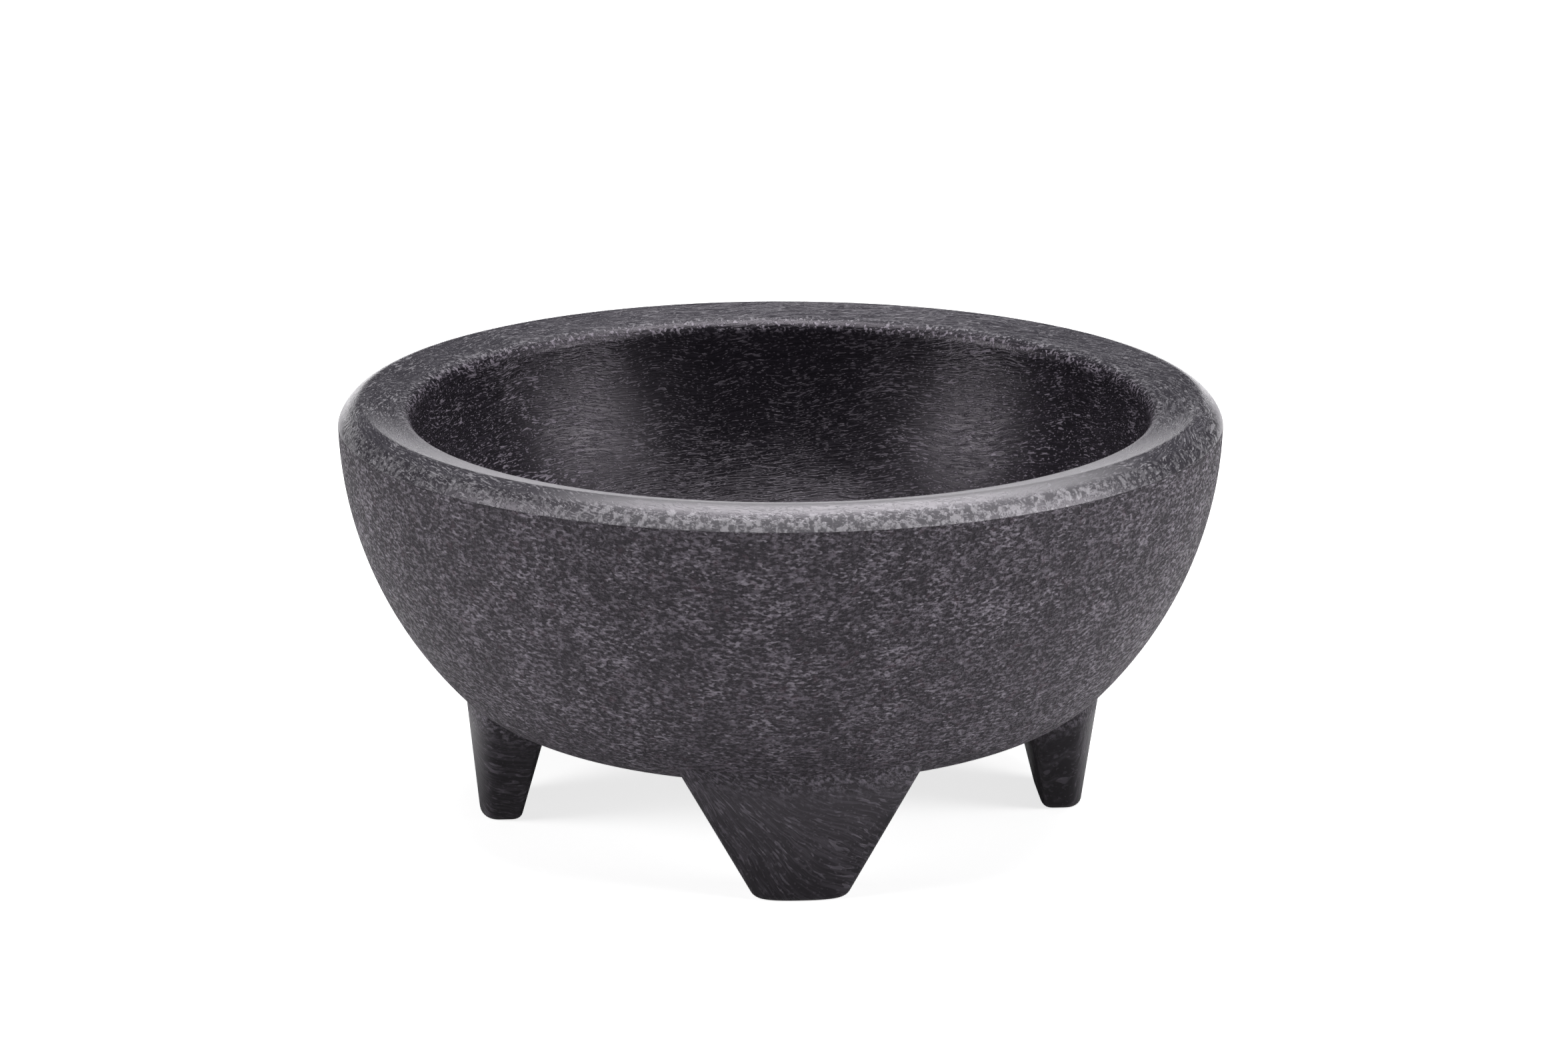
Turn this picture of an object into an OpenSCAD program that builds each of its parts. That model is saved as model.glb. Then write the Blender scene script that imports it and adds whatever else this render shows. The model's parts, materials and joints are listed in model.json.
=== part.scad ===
// Footed serving molcajete: a thick-walled bowl on four flared feet.
// The smooth liner carries the rim and sits in a grained outer shell, and
// each foot plugs into the shell's underside. Millimetres, +Z up, with the
// origin on the standing surface below the middle of the bowl.

/* [Bowl] */
// Radius of the seam between the rim and the grained wall
seam_radius = 76; // [74:0.5:80]
// Height of the seam above the standing surface
seam_height = 70; // [69:0.5:74]
// Wall thickness of the liner
liner_wall = 4; // [3.5:0.1:4.4]

/* [Rim] */
// Height of the crest above the seam
crest_rise = 3.8; // [3.4:0.1:4.4]
// How far the crest lies inside the seam
crest_inset = 3.8; // [3.4:0.1:4.4]
// Width of the rim from the seam to the mouth
rim_width = 12.6; // [12:0.1:13.2]
// Slope of the rim's top from its crest down to the mouth
mouth_slope = 13.5; // [8:0.5:16]

/* [Feet] */
// Distance from the bowl's axis to the middle of a foot
foot_circle = 49.2; // [48:0.1:51]
// Width of a foot where it stands
foot_width = 15.5; // [13:0.5:18]
// Thickness of a foot where it stands
foot_thickness = 7.2; // [6.8:0.1:8]
// Sideways flare of each flank
flare_angle = 29.3; // [26:0.1:31]
// Diameter of the spigot that holds a foot
spigot_d = 7; // [5:0.5:7]

/* [Hidden] */

// Outline of the wall from the seam to the axis: three arcs that run on
// from each other, each given by its radius and the lean at which it ends.
wall_lean = 1;
side_arc = 67;
side_end = 43;
turn_arc = 22;
turn_end = 72.5;

// Outline of the liner's cavity, built the same way from the mouth down
mouth_lean = 2;
cavity_side_arc = 52;
cavity_side_end = 48;
cavity_turn_arc = 24;
cavity_turn_end = 74;

mouth_radius = seam_radius - rim_width;
mouth_round = 2.4;
crest_radius = seam_radius - crest_inset;
crest_height = seam_height + crest_rise;
mouth_top_radius = mouth_radius + mouth_round * (1 - sin(mouth_slope));
mouth_height = crest_height - (crest_radius - mouth_top_radius) * tan(mouth_slope)
    + mouth_round * (1 - cos(mouth_slope));
shoulder_arc = 6;

// Tongue under the rim and the groove that takes it
tongue_width = 1.6;
tongue_depth = 3;
tongue_radius = seam_radius - 2.2;

// Where each foot's spigot starts inside the foot and ends in the shell
spigot_foot = 6;
spigot_top = 25.6;

foot_lean_out = 5.6;
foot_lean_in = 13.8;
foot_corner = 1;
// Exponents of the section's rounded outer side and its flat inner side
foot_squareness_out = 2.6;
foot_squareness_in = 7;
foot_sides = 48;
leg_top = 27;

charcoal = [0.21, 0.20, 0.22];
grained_charcoal = [0.27, 0.26, 0.28];
dark_charcoal = [0.16, 0.15, 0.17];

// Points of an arc about (cx, cz), from lean a to lean b below the horizontal
function lean_arc(cx, cz, r, a, b, n) =
    [for (i = [0:n]) let (t = a + (b - a) * i / n) [cx + r * cos(t), cz - r * sin(t)]];

// A bowl outline from (r0, z0) down to the axis, set back by inset t.
// The last arc is centred on the axis, so its radius follows from the others.
function bowl_outline(r0, z0, lean0, arc1, lean1, arc2, lean2, t) =
    let (c1 = [r0 - arc1 * cos(lean0), z0 + arc1 * sin(lean0)])
    let (k1 = c1 + arc1 * [cos(lean1), -sin(lean1)])
    let (c2 = k1 - arc2 * [cos(lean1), -sin(lean1)])
    let (k2 = c2 + arc2 * [cos(lean2), -sin(lean2)])
    let (arc3 = k2[0] / cos(lean2))
    concat(
        lean_arc(c1[0], c1[1], arc1 - t, lean0, lean1, 12),
        lean_arc(c2[0], c2[1], arc2 - t, lean1 + 3, lean2, 8),
        lean_arc(0, k2[1] + arc3 * sin(lean2), arc3 - t, lean2 + 3, 90, 5));

function wall_outline(t) = bowl_outline(seam_radius, seam_height, wall_lean,
    side_arc, side_end, turn_arc, turn_end, t);
function cavity_outline(t) = bowl_outline(mouth_radius, mouth_height - mouth_round, mouth_lean,
    cavity_side_arc, cavity_side_end, cavity_turn_arc, cavity_turn_end, t);

// The shoulder is one shallow arc from the seam up to the crest
function shoulder(n) =
    let (a = [seam_radius, seam_height])
    let (b = [crest_radius, crest_height])
    let (chord = norm(b - a))
    let (back = sqrt(shoulder_arc * shoulder_arc - chord * chord / 4))
    let (along = (b - a) / chord)
    let (c = (a + b) / 2 + back * [-along[1], along[0]])
    let (a0 = atan2(a[1] - c[1], a[0] - c[0]))
    let (b0 = atan2(b[1] - c[1], b[0] - c[0]))
    [for (i = [0:n]) let (t = a0 + (b0 - a0) * i / n) c + shoulder_arc * [cos(t), sin(t)]];

// The rounded edge that turns from the rim's sloping top into the mouth
function mouth_edge(n) =
    [for (i = [0:n]) let (t = 90 + mouth_slope + (90 - mouth_slope - mouth_lean) * i / n)
        [mouth_radius + mouth_round * (1 + cos(t)), mouth_height - mouth_round * (1 - sin(t))]];

// Solid of revolution inside a bowl outline, closed just above the seam
module filled_bowl(outline) {
    top = seam_height + 1;
    rotate_extrude($fn = 128)
        polygon(concat([[0, top], [outline[0][0], top]], outline));
}

module inner_bowl() {
    under = cavity_outline(-liner_wall);
    floor_top = cavity_outline(0);
    color(charcoal) {
        rotate_extrude($fn = 128)
            polygon(concat(
                shoulder(6), mouth_edge(6), floor_top,
                [for (i = [len(under) - 1:-1:0]) under[i]],
                [[under[0][0], seam_height]]));
        tongue(tongue_width, tongue_depth);
    }
}

// Ring below the seam plane, used for the tongue and for its groove
module tongue(width, depth) {
    translate([0, 0, seam_height - depth])
        difference() {
            cylinder(h = depth, r = tongue_radius + width / 2, $fn = 128);
            translate([0, 0, -1])
                cylinder(h = depth + 2, r = tongue_radius - width / 2, $fn = 128);
        }
}

module outer_shell() {
    seat = cavity_outline(-liner_wall);
    color(grained_charcoal)
        difference() {
            rotate_extrude($fn = 128)
                polygon(concat(
                    wall_outline(0),
                    [for (i = [len(seat) - 1:-1:0]) seat[i]],
                    [[seat[0][0], seam_height]]));
            tongue(tongue_width, tongue_depth);
            at_feet()
                cylinder(h = spigot_top, d = spigot_d, $fn = 48);
        }
}

// Places its children under each of the four feet
module at_feet() {
    for (turn = [0:90:270])
        rotate([0, 0, turn])
            translate([foot_circle, 0, 0])
                children();
}

// Rounded cross-section of a foot at height h, with the thickness along X
module foot_section(h, shrink) {
    half_w = foot_width / 2 + h * tan(flare_angle) - shrink;
    out = foot_thickness / 2 + h * tan(foot_lean_out) - shrink;
    in = foot_thickness / 2 + h * tan(foot_lean_in) - shrink;
    polygon([for (i = [0:foot_sides - 1])
        let (t = 360 * i / foot_sides)
        let (power = 2 / (cos(t) > 0 ? foot_squareness_out : foot_squareness_in))
        let (x = sign(cos(t)) * pow(abs(cos(t)), power))
        let (y = sign(sin(t)) * pow(abs(sin(t)), power))
        [x * (x > 0 ? out : in), y * half_w]]);
}

// One foot on the +X axis: a flared slab cut to the wall, and its spigot
module foot() {
    translate([foot_circle, 0, spigot_foot])
        cylinder(h = spigot_top - spigot_foot, d = spigot_d, $fn = 48);
    difference() {
        translate([foot_circle, 0, 0])
            hull() {
                linear_extrude(height = 0.01)
                    foot_section(0, foot_corner);
                translate([0, 0, foot_corner / 3])
                    linear_extrude(height = 0.01)
                        foot_section(foot_corner / 3, foot_corner / 4);
                translate([0, 0, foot_corner])
                    linear_extrude(height = 0.01)
                        foot_section(foot_corner, 0);
                translate([0, 0, leg_top])
                    linear_extrude(height = 0.01)
                        foot_section(leg_top, 0);
            }
        filled_bowl(wall_outline(0));
    }
}

module leg(turn) {
    color(dark_charcoal)
        rotate([0, 0, turn])
            foot();
}

module leg_front() { leg(-90); }
module leg_right() { leg(0); }
module leg_rear() { leg(90); }
module leg_left() { leg(180); }

inner_bowl();
outer_shell();
leg_front();
leg_right();
leg_rear();
leg_left();
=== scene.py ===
"""A footed molcajete bowl: satin liner with its rim, grained shell and four flared feet.

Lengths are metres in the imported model's frame: +Z up, with the origin on the
standing surface below the middle of the bowl.
"""

import json

import bpy
import numpy as np
from mathutils import Euler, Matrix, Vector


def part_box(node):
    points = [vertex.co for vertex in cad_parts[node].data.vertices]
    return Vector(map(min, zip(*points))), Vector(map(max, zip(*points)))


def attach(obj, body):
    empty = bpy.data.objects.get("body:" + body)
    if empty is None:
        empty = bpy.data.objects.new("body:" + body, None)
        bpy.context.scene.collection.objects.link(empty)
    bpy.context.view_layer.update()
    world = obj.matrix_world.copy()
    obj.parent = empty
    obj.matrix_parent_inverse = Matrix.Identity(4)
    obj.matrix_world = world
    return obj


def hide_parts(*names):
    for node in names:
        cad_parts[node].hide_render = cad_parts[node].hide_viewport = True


MM = 0.001

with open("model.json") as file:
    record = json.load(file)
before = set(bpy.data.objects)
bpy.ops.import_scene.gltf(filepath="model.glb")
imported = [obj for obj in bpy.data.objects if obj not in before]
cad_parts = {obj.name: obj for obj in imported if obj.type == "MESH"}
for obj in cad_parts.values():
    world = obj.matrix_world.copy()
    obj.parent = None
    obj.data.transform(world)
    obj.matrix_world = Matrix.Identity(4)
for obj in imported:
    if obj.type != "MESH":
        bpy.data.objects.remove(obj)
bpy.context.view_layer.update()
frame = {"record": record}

# ---------------------------------------------------------------- sizes
seam_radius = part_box("outer_shell")[1].x
seam_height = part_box("outer_shell")[1].z
crest_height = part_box("inner_bowl")[1].z
crest_inset = 3.8 * MM
rim_width = 12.6 * MM
mouth_slope = 13.5
mouth_round = 2.4 * MM
shoulder_arc = 6 * MM
liner_wall = 4 * MM
seam_round = 0.12 * MM
crest_round = 0.7 * MM

# Spacing of the points along an outline, where it is seen and where it is hidden
seen_step = 0.7 * MM
hidden_step = 1.4 * MM

# Each bowl outline: the lean it starts at, then (radius, end lean) of its arcs
wall_lean, wall_arcs = 1, ((67 * MM, 43), (22 * MM, 72.5))
cavity_lean, cavity_arcs = 2, ((52 * MM, 48), (24 * MM, 74))

mounts = {m["name"]: m["pos_m"] for m in frame["record"]["mounts"]}
foot_circle = mounts["foot_right"][0]
foot_width = 15.5 * MM
foot_thickness = 7.2 * MM
foot_corner = 1 * MM
flank_lean, outer_lean, inner_lean = 29.3, 5.6, 13.8
outer_squareness, inner_squareness = 2.6, 7
spigot_radius = 3.5 * MM
spigot_top = 25.6 * MM
spigot_chamfer = 0.4 * MM

crest_radius = seam_radius - crest_inset
mouth_radius = seam_radius - rim_width
slope = np.radians(mouth_slope)
mouth_top_radius = mouth_radius + mouth_round * (1 - np.sin(slope))
mouth_height = (crest_height - (crest_radius - mouth_top_radius) * np.tan(slope)
                + mouth_round * (1 - np.cos(slope)))


# ---------------------------------------------------------------- surfaces
def arc(centre, radius, start, end, step):
    """Points (r, z) of an arc about centre, at leans from start to end degrees
    below the horizontal, about one point every step."""
    count = max(3, int(np.ceil(radius * np.radians(abs(end - start)) / step)) + 1)
    lean = np.radians(np.linspace(start, end, count))
    return np.column_stack((centre[0] + radius * np.cos(lean),
                            centre[1] - radius * np.sin(lean)))


def bowl_outline(start, lean, arcs, inset=0.0, step=seen_step):
    """Outline from start down to the axis. Each arc runs on from the last in
    its own direction, and a last arc centred on the axis closes the floor.
    inset sets the whole outline back along its normal, and step is the
    spacing of its points."""
    def outwards(degrees):
        return np.array((np.cos(np.radians(degrees)), -np.sin(np.radians(degrees))))

    corner = np.array(start, float)
    parts = []
    for radius, end in arcs:
        centre = corner - radius * outwards(lean)
        parts.append(arc(centre, radius - inset, lean, end, step))
        corner = centre + radius * outwards(end)
        lean = end
    radius = corner[0] / np.cos(np.radians(lean))
    centre = (0, corner[1] + radius * np.sin(np.radians(lean)))
    parts.append(arc(centre, radius - inset, lean, 90, step))
    return np.concatenate([parts[0]] + [part[1:] for part in parts[1:]])


def shoulder():
    """One shallow arc from the seam up to the crest, bulging outwards. Its
    centre lies on the line that halves the chord between them."""
    low = np.array((seam_radius, seam_height))
    high = np.array((crest_radius, crest_height))
    chord = np.linalg.norm(high - low)
    along = (high - low) / chord
    back = np.sqrt(shoulder_arc**2 - chord**2 / 4)
    centre = (low + high) / 2 + back * np.array((-along[1], along[0]))
    leans = [np.degrees(np.arctan2(centre[1] - p[1], p[0] - centre[0])) for p in (low, high)]
    return arc(centre, shoulder_arc, *leans, step=0.35 * MM)


def run_length(outline):
    """Distance along the outline to each of its points."""
    return np.concatenate(([0], np.cumsum(np.linalg.norm(np.diff(outline, axis=0), axis=1))))


def rounded(points, corner, radius, count=6):
    """The outline with the point at index corner replaced by a round: a
    quadratic curve that leaves the outline at radius before the corner and
    meets it again at radius after it. One point on each side leads into the
    curve, and any others nearer than clear are dropped."""
    run = run_length(points)
    lead, clear = 1.4 * radius, 1.6 * radius

    def beside(distance):
        return np.array([np.interp(run[corner] + distance, run, points[:, k]) for k in (0, 1)])

    t = np.linspace(0, 1, count)[:, None]
    curve = ((1 - t)**2 * beside(-radius) + 2 * t * (1 - t) * points[corner]
             + t**2 * beside(radius))
    return np.concatenate((points[run < run[corner] - clear], [beside(-lead)], curve,
                           [beside(lead)], points[run > run[corner] + clear]))


def mesh_object(name, vertices, faces, attributes=()):
    """A smooth mesh at the origin, with one float value a vertex for each attribute."""
    mesh = bpy.data.meshes.new(name)
    mesh.from_pydata(vertices, [], faces)
    mesh.polygons.foreach_set("use_smooth", np.ones(len(mesh.polygons), bool))
    for key, values in attributes:
        mesh.attributes.new(key, "FLOAT", "POINT").data.foreach_set(
            "value", np.asarray(values, np.float32))
    piece = bpy.data.objects.new(name, mesh)
    bpy.context.scene.collection.objects.link(piece)
    return piece


def ring_faces(rings, around):
    """Quads between rings of around points each, and a fan on each end.
    Vertex 0 closes the first ring and the last vertex closes the last."""
    ring, step = np.meshgrid(np.arange(rings - 1), np.arange(around), indexing="ij")
    after = (step + 1) % around
    quads = np.stack((ring * around + step, (ring + 1) * around + step,
                      (ring + 1) * around + after, ring * around + after), -1).reshape(-1, 4) + 1
    step = np.arange(around)
    after = (step + 1) % around
    first = np.column_stack((np.zeros(around, int), step + 1, after + 1))
    last = (rings - 1) * around + 1
    end = np.column_stack((np.full(around, rings * around + 1), last + after, last + step))
    return quads.tolist() + first.tolist() + end.tolist()


def turned(name, outline, values, around=384):
    """Solid of revolution: each outline point (r, z) goes round +Z. The
    outline runs from the axis to the axis and keeps the solid on its right.
    values gives a number for each (outline point, angle), or a column that
    is the same all round."""
    angle = np.linspace(0, 2 * np.pi, around, endpoint=False)
    r, z = outline[1:-1].T
    body = np.stack((np.outer(r, np.cos(angle)), np.outer(r, np.sin(angle)),
                     np.repeat(z[:, None], around, 1)), -1).reshape(-1, 3)
    vertices = np.concatenate(([[0, 0, outline[0, 1]]], body, [[0, 0, outline[-1, 1]]]))
    attributes = []
    for key, value in values(angle):
        value = np.broadcast_to(value, (len(outline), around))
        attributes.append((key, np.concatenate(
            ([value[0].mean()], value[1:-1].ravel(), [value[-1].mean()]))))
    return mesh_object(name, vertices, ring_faces(len(r), around), attributes)


def smooth_step(low, high, value):
    """0 below low, 1 above high, and a smooth ramp between."""
    t = np.clip((value - low) / (high - low), 0, 1)
    return t * t * (3 - 2 * t)


# ---------------------------------------------------------------- pieces
cavity_start = (mouth_radius, mouth_height - mouth_round)
cavity = bowl_outline(cavity_start, cavity_lean, cavity_arcs)[::-1]
seat = bowl_outline(cavity_start, cavity_lean, cavity_arcs, inset=-liner_wall, step=hidden_step)
wall = bowl_outline((seam_radius, seam_height), wall_lean, wall_arcs)


def make_liner(top_count=14):
    """Liner: the cavity, the rounded mouth, the rim's sloping top, the
    shoulder down to the seam, and the underside that sits in the shell.

    Its attributes, measured along the outline from the middle of the mouth's
    round: lane counts metres across the flow marks, down the cavity and, below
    zero, out over the rim. relief is the depth of the flow marks, which is
    greatest at the cavity's sides and at the right and back of the rim. rim
    is 1 from the mouth outwards, edge is 1 on the rounded mouth, shoulder is 1
    on the outer part of the shoulder, and the last attribute, 1 on the front of
    the crest and shoulder, marks where a highlight is painted on in a lighter colour."""
    mouth = arc((mouth_radius + mouth_round, mouth_height - mouth_round), mouth_round,
                180 - cavity_lean, 180 + 90 - mouth_slope, step=0.25 * MM)
    mouth = mouth[np.argsort(mouth[:, 1])]
    top = np.linspace(mouth[-1], (crest_radius, crest_height), top_count)
    rise = shoulder()[::-1]
    outline = np.concatenate((cavity[:-1], mouth, top[1:-1], rise,
                              [(seat[0, 0], seam_height)], seat))
    seam_index = len(outline) - len(seat) - 2
    crest_index = len(cavity) - 1 + len(mouth) + top_count - 2
    outline = rounded(outline, seam_index, seam_round)
    outline = rounded(outline, crest_index, crest_round)
    run = run_length(outline)
    down = (run[len(cavity) + len(mouth) // 2] - run)[:, None]
    right_drift, back_drift = 0.10, 0.18

    def values(angle):
        x, y = np.cos(angle)[None, :], np.sin(angle)[None, :]
        r = outline[:, :1]
        lane = down - back_drift * r * y + right_drift * r * x

        cavity_part = smooth_step(-2.5 * MM, -0.5 * MM, down)
        rim_part = smooth_step(-0.5 * MM, 1.6 * MM, -down)
        crest_part = smooth_step(5 * MM, 7.5 * MM, -down)
        shoulder_part = smooth_step(10.2 * MM, 11.4 * MM, -down)
        edge = smooth_step(-3 * MM, -1 * MM, down) * smooth_step(-2.5 * MM, -0.5 * MM, -down)

        cavity_depth = 0.35 + 0.65 * smooth_step(0.20, 0.80, np.abs(x))
        rim_depth = 0.50 + 0.60 * smooth_step(-0.1, 0.9, 0.8 * x + 0.6 * y)
        relief = (cavity_part * cavity_depth
                  + (1 - cavity_part) * (1 - shoulder_part) * rim_depth)
        # Painted highlight: marks the front of the crest and shoulder, which the finish paints
        # lighter as if lit
        front_highlight = crest_part * smooth_step(0.70, 0.96, 0.12 * x - y)
        return (("lane", lane), ("relief", relief), ("rim", rim_part), ("edge", edge),
                ("shoulder", shoulder_part), ("front_highlight", front_highlight))

    return turned("liner", outline, values)


def make_shell():
    """Shell: the seat that takes the liner, the seam face and the grained wall.
    lane counts metres along the outline, so that the grain lies level."""
    outline = np.concatenate((seat[::-1], [(seat[0, 0], seam_height)], wall))
    outline = rounded(outline, len(seat) + 1, seam_round)
    run = run_length(outline)

    def values(_angle):
        return (("lane", (run[-1] - run)[:, None]),)

    return turned("shell", outline, values)


def wall_height(radius):
    """Height of the wall's outer face at a distance from the axis."""
    return np.interp(radius, wall[::-1, 0], wall[::-1, 1])


def make_leg(name, turn, around=96, rows=26, halvings=40):
    """Foot on the +X axis, turned about +Z. Its section at height h has a
    rounded outer half and a nearly square inner half, and grows with h. Each
    side line runs straight from the foot's rounded edge to the wall, found by
    halving, then goes on into the shell and in to the spigot. lane is the
    distance across the flow marks, and grain is 1 next to the wall."""
    t = np.linspace(0, 2 * np.pi, around, endpoint=False)
    power = 2 / np.where(np.cos(t) > 0, outer_squareness, inner_squareness)
    unit_x = np.sign(np.cos(t)) * np.abs(np.cos(t))**power
    unit_y = np.sign(np.sin(t)) * np.abs(np.sin(t))**power

    def section(h, shrink=0.0):
        grow = {key: foot_thickness / 2 + h * np.tan(np.radians(lean)) - shrink
                for key, lean in (("out", outer_lean), ("in", inner_lean))}
        wide = foot_width / 2 + h * np.tan(np.radians(flank_lean)) - shrink
        x = foot_circle + unit_x * np.where(unit_x > 0, grow["out"], grow["in"])
        return np.stack((x, unit_y * wide, h * np.ones_like(x)), -1)

    def drawn_in(ring, share):
        """The ring brought in towards the foot's middle line to share of its size."""
        ring = ring.copy()
        ring[:, :2] = (foot_circle, 0) + share * (ring[:, :2] - (foot_circle, 0))
        return ring

    low, high = np.full(around, foot_corner), np.full(around, 40 * MM)
    for _ in range(halvings):
        halfway = (low + high) / 2
        point = section(halfway)
        inside = halfway > wall_height(np.hypot(point[:, 0], point[:, 1]))
        low, high = np.where(inside, low, halfway), np.where(inside, halfway, high)
    top = low

    # Flat underside, rounded edge, flared sides and a little into the shell
    rings = [drawn_in(section(0.0, foot_corner), share) for share in (0.35, 0.7, 0.92)]
    for a in np.radians(np.linspace(0, 90, 7)):
        rings.append(section(foot_corner * (1 - np.cos(a)), foot_corner * (1 - np.sin(a))))
    for share in np.linspace(0, 1, rows)[1:]:
        rings.append(section(foot_corner + share * (top - foot_corner)))
    rings.append(section(top + 0.4 * MM))

    # Spigot with a chamfered end
    spigot = np.stack((foot_circle + spigot_radius * np.cos(t), spigot_radius * np.sin(t),
                       np.zeros(around)), -1)
    spigot_start = wall_height(foot_circle) + 0.6 * MM
    for height in (spigot_start, spigot_top - spigot_chamfer, spigot_top):
        rings.append(spigot + (0, 0, height))
    rings[-1] = drawn_in(rings[-1], 0.88)
    vertices = np.concatenate(([[foot_circle, 0, 0]], np.concatenate(rings),
                               [[foot_circle, 0, spigot_top]]))

    # The flow marks fan out from a point above one shoulder of the foot
    fan_side, fan_height, fan_radius = -24 * MM, 29 * MM, 26 * MM
    lane = fan_radius * np.arctan2(vertices[:, 2] - fan_height, vertices[:, 1] - fan_side)
    to_wall = np.concatenate(([top.mean()], np.tile(top, len(rings)), [0])) - vertices[:, 2]
    grain = 1 - smooth_step(0.5 * MM, 6 * MM, to_wall)

    c, s = np.cos(turn), np.sin(turn)
    vertices = vertices @ np.array(((c, s, 0), (-s, c, 0), (0, 0, 1)))
    faces = [face[::-1] for face in ring_faces(len(rings), around)]
    return mesh_object(name, vertices, faces, (("lane", lane), ("grain", grain)))


# ---------------------------------------------------------------- finishes
# The plastic's gloss has a faint violet cast
violet = (0.98, 0.90, 1.0, 1)


class Finish:
    """A procedural material: each method adds a node and returns its output."""

    def __init__(self, name):
        self.material = bpy.data.materials.new(name)
        self.material.use_nodes = True
        self.tree = self.material.node_tree
        self.shader = self.tree.nodes["Principled BSDF"]
        self.place = self.node("ShaderNodeTexCoord").outputs["Object"]

    def node(self, kind, inputs=(), **settings):
        node = self.tree.nodes.new(kind)
        for key, value in settings.items():
            setattr(node, key, value)
        for key, value in dict(inputs).items():
            self.feed(node.inputs[key], value)
        return node

    def feed(self, socket, value):
        """Link an output to the socket, or set it to a plain value."""
        if isinstance(value, bpy.types.NodeSocket):
            self.tree.links.new(value, socket)
        else:
            socket.default_value = value

    def attribute(self, key):
        return self.node("ShaderNodeAttribute", attribute_name=key).outputs["Fac"]

    def maths(self, how, a, b, c=0.0):
        return self.node("ShaderNodeMath", {0: a, 1: b, 2: c}, operation=how).outputs[0]

    def times(self, a, b):
        return self.maths("MULTIPLY", a, b)

    def larger(self, a, b):
        return self.maths("MAXIMUM", a, b)

    def plus(self, base, value, scale):
        """base + value * scale"""
        return self.maths("MULTIPLY_ADD", value, scale, base)

    def noise(self, size, detail=1.0, roughness=0.5, across=None, width=None, seed=0.0):
        """Noise whose patches measure size. With across, they are stretched
        along the lines on which across is constant and are width wide over them."""
        inputs = {"Vector": self.place, "Scale": 1 / size, "Detail": detail,
                  "Roughness": roughness}
        inputs["W"] = seed if across is None else self.plus(seed, across, size / width)
        return self.node("ShaderNodeTexNoise", inputs, noise_dimensions="4D").outputs[0]

    def ramp(self, value, low, high, to_low=0.0, to_high=1.0):
        """Smooth step from to_low where value is low to to_high where it is high."""
        return self.node("ShaderNodeMapRange", {0: value, 1: low, 2: high, 3: to_low, 4: to_high},
                         interpolation_type="SMOOTHSTEP").outputs[0]

    def clusters(self, size, seed, depth=0.05):
        """Amount to take from a noise, so that its marks come in clusters about size apart."""
        return self.ramp(self.noise(size, detail=2.0, seed=seed), 0.36, 0.64, depth, -depth)

    def mix(self, share, a, b):
        """Colour a where share is 0 and colour b where it is 1."""
        return self.node("ShaderNodeMix", {0: share, 6: a, 7: b}, data_type="RGBA").outputs[2]

    def blend(self, share, a, b):
        """Number a where share is 0 and number b where it is 1."""
        return self.node("ShaderNodeMix", {0: share, 2: a, 3: b}, data_type="FLOAT").outputs[0]

    def glance(self, low, high):
        """0 where the surface is seen squarely and 1 where it is seen edge on."""
        return self.ramp(self.node("ShaderNodeLayerWeight").outputs["Facing"], low, high)

    def relief(self, height, depth, normal=None):
        """Normal of a surface raised by depth where height is 1, over another relief if given."""
        inputs = {"Height": height, "Distance": depth, "Strength": 1.0}
        if normal is not None:
            inputs["Normal"] = normal
        return self.node("ShaderNodeBump", inputs).outputs[0]

    def surface(self, colour, roughness, normal, **constants):
        for key, value in (("Base Color", colour), ("Roughness", roughness), ("Normal", normal)):
            self.feed(self.shader.inputs[key], value)
        for key, value in constants.items():
            self.shader.inputs[key.replace("_", " ")].default_value = value
        return self.material


def flow_marks(finish, length, width):
    """Ridges that follow the flow: long fine hairlines, short bold dashes that
    come in clusters, and tiny bright flecks. Two slow noises bend the lanes
    that they follow. Each is 0 between the ridges and 1 on them."""
    lane = finish.attribute("lane")
    lane = finish.plus(lane, finish.noise(26 * MM, detail=1.0, seed=3.0), 11 * MM)
    lane = finish.plus(lane, finish.noise(6 * MM, detail=1.5, seed=8.0), 1.6 * MM)
    hair = finish.noise(2.4 * length, detail=2.0, roughness=0.65,
                        across=lane, width=0.9 * width, seed=1.0)
    dash = finish.noise(length, detail=1.0, across=lane, width=1.25 * width, seed=5.0)
    dash = finish.maths("SUBTRACT", dash, finish.clusters(7 * MM, seed=15.0))
    fleck = finish.noise(0.55 * MM, detail=0.0, across=lane, width=width, seed=17.0)
    return (finish.ramp(hair, 0.44, 0.64), finish.ramp(dash, 0.61, 0.69),
            finish.ramp(fleck, 0.64, 0.72))


def pebbled(finish):
    """Coarse pebbled grain: flattened grains about a millimetre long, small
    pits between them, and light tips, rubbed pale by wear, that come in
    clusters. grains and tips are 1 on them, and pits is 0 in them."""
    lane = finish.attribute("lane")
    grains = finish.noise(1.1 * MM, detail=2.0, roughness=0.6,
                          across=lane, width=0.62 * MM, seed=2.0)
    pits = finish.noise(0.75 * MM, detail=1.0, seed=6.0)
    tips = finish.noise(0.95 * MM, detail=1.0, across=lane, width=0.50 * MM, seed=10.0)
    tips = finish.maths("SUBTRACT", tips, finish.clusters(6 * MM, seed=14.0))
    return (finish.ramp(grains, 0.38, 0.66), finish.ramp(pits, 0.34, 0.50),
            finish.ramp(tips, 0.56, 0.72))


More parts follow.
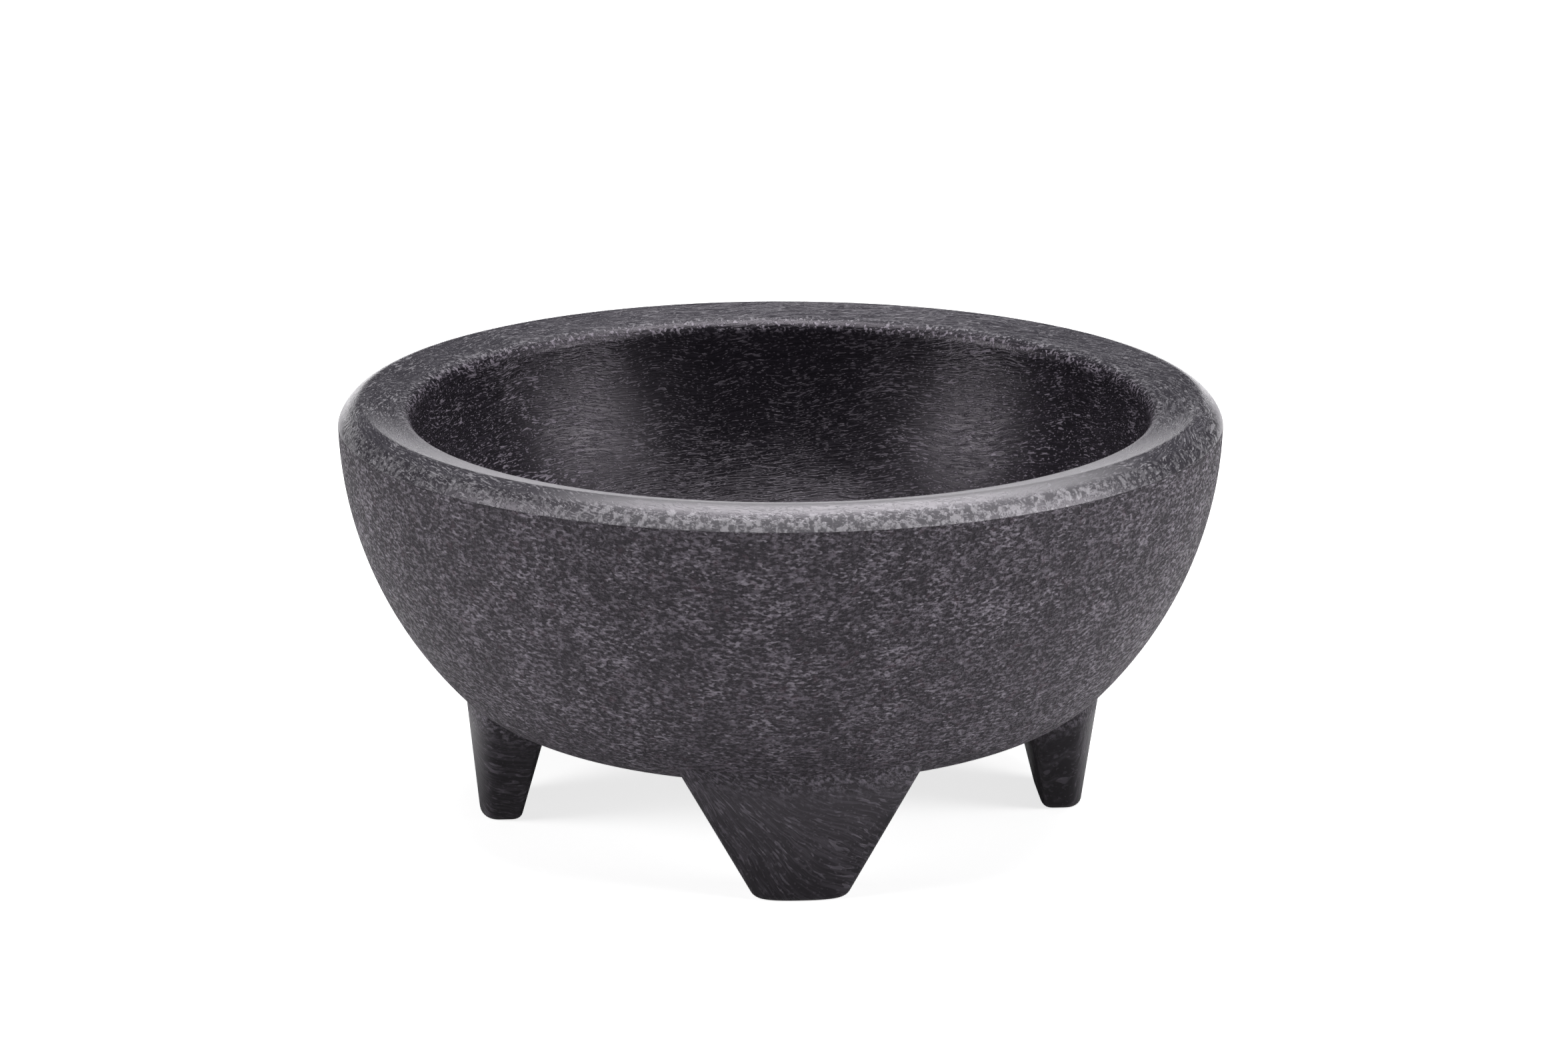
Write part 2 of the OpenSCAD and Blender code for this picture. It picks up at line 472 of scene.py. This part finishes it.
def shell_finish():
    """Matt charcoal with a pebbled grain, darker pits, lighter tips rubbed by
    wear, soft mottling and a few warm specks."""
    black, charcoal = (0.0045, 0.0037, 0.0058, 1), (0.078, 0.068, 0.084, 1)
    worn_grey, warm_brown = (0.205, 0.186, 0.218, 1), (0.050, 0.026, 0.036, 1)
    finish = Finish("grained charcoal")
    grains, pits, tips = pebbled(finish)
    mottle = finish.ramp(finish.noise(5 * MM, detail=2.0, seed=9.0), 0.38, 0.62, 0.55, 1.2)
    warm = finish.ramp(finish.noise(1.6 * MM, detail=1.0, seed=12.0), 0.60, 0.76)

    tone = finish.times(grains, finish.ramp(pits, 0, 1, 0.25, 1.0))
    colour = finish.mix(finish.times(tone, mottle), black, charcoal)
    colour = finish.mix(finish.times(tips, 0.8), colour, worn_grey)
    colour = finish.mix(finish.times(warm, 0.35), colour, warm_brown)

    height = finish.plus(finish.plus(grains, pits, 0.4), tips, 0.3)
    normal = finish.relief(height, 0.32 * MM)
    roughness = finish.ramp(tone, 0, 1, 0.75, 0.48)
    return finish.surface(colour, roughness, normal, Specular_Tint=violet)


def liner_finish():
    """Satin charcoal with flow marks; the light colour of their bold dashes and
    flecks is painted glint. The cavity is nearly black. The rim is frosted, with
    a painted sheen that makes it lighter where it is seen at a glancing angle and
    a painted highlight that makes its front lighter; its shoulder is blotched,
    more strongly at the front as part of that highlight, and specks painted as
    glints run along the mouth."""
    black, hair_grey = (0.0054, 0.0045, 0.0067, 1), (0.020, 0.0167, 0.0232, 1)
    cloud_grey = (0.012, 0.010, 0.0145, 1)
    frost_dark, frost_light = (0.030, 0.028, 0.034, 1), (0.094, 0.090, 0.101, 1)
    shoulder_grey = (0.026, 0.024, 0.029, 1)
    # Painted highlight colours for the front of the crest and shoulder
    painted_crest_highlight, painted_shoulder_highlight = (0.190, 0.185, 0.195, 1), (0.095, 0.091, 0.100, 1)
    # Painted sheen colour for glancing views, and the light colour of the shoulder blotches
    painted_sheen_grey, blotch_grey = (0.30, 0.29, 0.31, 1), (0.290, 0.281, 0.299, 1)
    # Light colours painted on the bold marks as glints
    cavity_mark_glint, rim_mark_glint = (0.170, 0.150, 0.181, 1), (0.220, 0.212, 0.229, 1)

    finish = Finish("smooth charcoal")
    hair, dash, fleck = flow_marks(finish, length=1.7 * MM, width=0.27 * MM)
    relief, rim = finish.attribute("relief"), finish.attribute("rim")
    shoulder_part, front_highlight = finish.attribute("shoulder"), finish.attribute("front_highlight")
    blotch = finish.noise(0.9 * MM, detail=2.0, roughness=0.6, seed=4.0)
    blotch = finish.times(finish.ramp(blotch, 0.44, 0.64), shoulder_part)
    # Painted glints: light specks along the rounded mouth, standing in for the speckled highlight
    # on its edge
    specks = finish.ramp(finish.noise(0.8 * MM, detail=1.0, seed=19.0), 0.52, 0.66)
    specks = finish.times(specks, finish.attribute("edge"))
    cloud = finish.ramp(finish.noise(11 * MM, detail=2.0, seed=7.0), 0.35, 0.65)
    hair = finish.times(hair, relief)
    bold = finish.times(finish.larger(dash, finish.times(fleck, 0.8)),
                        finish.blend(rim, relief, 0.8))
    bold = finish.larger(bold, specks)

    colour = finish.mix(hair, black, hair_grey)
    colour = finish.mix(finish.times(cloud, 0.10), colour, cloud_grey)
    frost_and_painted_light = finish.mix(hair, frost_dark, frost_light)
    frost_and_painted_light = finish.mix(shoulder_part, frost_and_painted_light, shoulder_grey)
    # Painted highlight: the front of the crest and shoulder is painted lighter
    frost_and_painted_light = finish.mix(front_highlight, frost_and_painted_light, finish.mix(shoulder_part, painted_crest_highlight, painted_shoulder_highlight))
    # Painted sheen: the rim is painted lighter where it is seen at a glancing angle
    frost_and_painted_light = finish.mix(finish.times(finish.glance(0.76, 0.92), 0.9), frost_and_painted_light, painted_sheen_grey)
    colour = finish.mix(rim, colour, frost_and_painted_light)
    # Shoulder blotches, painted much stronger at the front as part of the painted highlight
    blotch_and_highlight_share = finish.times(blotch, finish.ramp(front_highlight, 0, 1, 0.28, 0.9))
    colour = finish.mix(blotch_and_highlight_share, colour, blotch_grey)
    # Painted glints: the bold marks' ridges are real relief, but their light colour stands in for
    # light glinting off them; relief gathers them at the cavity's sides
    colour = finish.mix(finish.times(bold, 0.9), colour, finish.mix(rim, cavity_mark_glint, rim_mark_glint))

    normal = finish.relief(finish.plus(hair, bold, 1.4), 0.044 * MM)
    normal = finish.relief(blotch, 0.06 * MM, normal)
    roughness = finish.plus(finish.blend(rim, 0.30, 0.32), bold, 0.06)
    return finish.surface(colour, roughness, normal, Specular_Tint=violet,
                          Specular_IOR_Level=0.42)


def leg_finish():
    """Satin charcoal with fanned flow marks that take over from the shell's
    grain at the top of each foot."""
    black, charcoal = (0.0024, 0.0020, 0.0034, 1), (0.096, 0.086, 0.104, 1)
    finish = Finish("leg charcoal")
    hair, dash, fleck = flow_marks(finish, length=2.4 * MM, width=0.38 * MM)
    grains, pits, tips = pebbled(finish)
    grain = finish.attribute("grain")

    marks = finish.plus(finish.times(hair, 0.45), finish.plus(dash, fleck, 0.5), 0.9)
    pebbles = finish.plus(finish.times(grains, pits), tips, 0.8)
    tone = finish.blend(grain, finish.times(marks, 0.55), pebbles)
    colour = finish.mix(tone, black, charcoal)

    normal = finish.relief(finish.blend(grain, finish.times(marks, 0.20), grains), 0.24 * MM)
    roughness = finish.blend(grain, 0.40, 0.58)
    return finish.surface(colour, roughness, normal, Specular_Tint=violet)


# ---------------------------------------------------------------- assembly
def fit(piece, material, slot, *nodes):
    """Give the piece its finish, and let it stand for the CAD nodes."""
    piece.data.materials.append(material)
    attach(piece, "root")
    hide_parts(*nodes)


fit(make_liner(), liner_finish(), "smooth_charcoal", "inner_bowl")
fit(make_shell(), shell_finish(), "grained_charcoal", "outer_shell")
foot_charcoal = leg_finish()
for side, quarter in (("front", -1), ("right", 0), ("rear", 1), ("left", 2)):
    fit(make_leg("foot_" + side, quarter * np.pi / 2), foot_charcoal, "leg_charcoal", "leg_" + side)


# ---------------------------------------------------------------- stage
def add_floor(half, glow):
    """White paper floor. It glows to the camera alone, as a light table would,
    so that only a faint shadow is left, and the glow doesn't light the bowl."""
    corners = [(-half, -half, 0), (half, -half, 0), (half, half, 0), (-half, half, 0)]
    floor = mesh_object("floor", corners, [(0, 1, 2, 3)])
    paper = bpy.data.materials.new("white paper")
    paper.use_nodes = True
    tree = paper.node_tree
    shader = tree.nodes["Principled BSDF"]
    for key, value in (("Base Color", (0.92, 0.92, 0.92, 1)), ("Roughness", 0.9),
                       ("Specular IOR Level", 0.2), ("Emission Color", (1, 1, 1, 1))):
        shader.inputs[key].default_value = value
    path, strength = tree.nodes.new("ShaderNodeLightPath"), tree.nodes.new("ShaderNodeMath")
    strength.operation = "MULTIPLY"
    strength.inputs[1].default_value = glow
    tree.links.new(path.outputs["Is Camera Ray"], strength.inputs[0])
    tree.links.new(strength.outputs[0], shader.inputs["Emission Strength"])
    floor.data.materials.append(paper)


def add_softbox(name, place, width, height, power, aim=(0, 0, 0.045)):
    """Rectangular area light at place, facing the point aim in the bowl."""
    light = bpy.data.lights.new(name, "AREA")
    light.shape, light.size, light.size_y, light.energy = "RECTANGLE", width, height, power
    lamp = bpy.data.objects.new(name, light)
    lamp.location = place
    direction = np.array(aim, float) - place
    lamp.rotation_euler = (np.arctan2(np.hypot(*direction[:2]), -direction[2]), 0,
                           np.arctan2(-direction[0], direction[1]))
    bpy.context.scene.collection.objects.link(lamp)


def add_world(light, seen):
    """Even light from all round; the camera sees plain white behind."""
    world = bpy.data.worlds.new("studio")
    world.use_nodes = True
    tree = world.node_tree
    tree.nodes.clear()
    path, mix = tree.nodes.new("ShaderNodeLightPath"), tree.nodes.new("ShaderNodeMixShader")
    out = tree.nodes.new("ShaderNodeOutputWorld")
    for index, strength in ((1, light), (2, seen)):
        glow = tree.nodes.new("ShaderNodeBackground")
        glow.inputs["Strength"].default_value = strength
        glow.inputs["Color"].default_value = (1, 1, 1, 1)
        tree.links.new(glow.outputs[0], mix.inputs[index])
    tree.links.new(path.outputs["Is Camera Ray"], mix.inputs[0])
    tree.links.new(mix.outputs[0], out.inputs["Surface"])
    bpy.context.scene.world = world


add_floor(half=4.0, glow=0.75)
add_world(light=0.03, seen=1.0)
add_softbox("left softbox", (-0.97, -0.26, 0.30), 0.5, 0.6, power=4.7)
add_softbox("left upper softbox", (-0.90, -0.22, 0.52), 0.4, 0.4, power=1.6)
add_softbox("right softbox", (0.93, -0.37, 0.30), 0.5, 0.6, power=7.4)
add_softbox("top softbox", (0.07, 0.03, 0.98), 0.6, 0.9, power=14.3)
add_softbox("back strip", (0, 1.4, 0.06), 1.2, 0.12, power=2.0)

# ---------------------------------------------------------------- camera
view_distance = 0.8304
view_height = 0.2791
view_turn = np.radians(3.78)
view_pitch = np.radians(15.37)
aim_trim = 0.0007
camera = bpy.data.objects.new("camera", bpy.data.cameras.new("camera"))
camera.data.sensor_width = 36
camera.data.lens = 114.09
camera.data.clip_start = 0.01
camera.location = (-view_distance * np.sin(view_turn), -view_distance * np.cos(view_turn),
                   view_height)
camera.rotation_euler = Euler((np.pi / 2 - view_pitch, 0, -view_turn - aim_trim))
bpy.context.scene.collection.objects.link(camera)
bpy.context.scene.camera = camera
bpy.context.scene.view_settings.view_transform = "Standard"
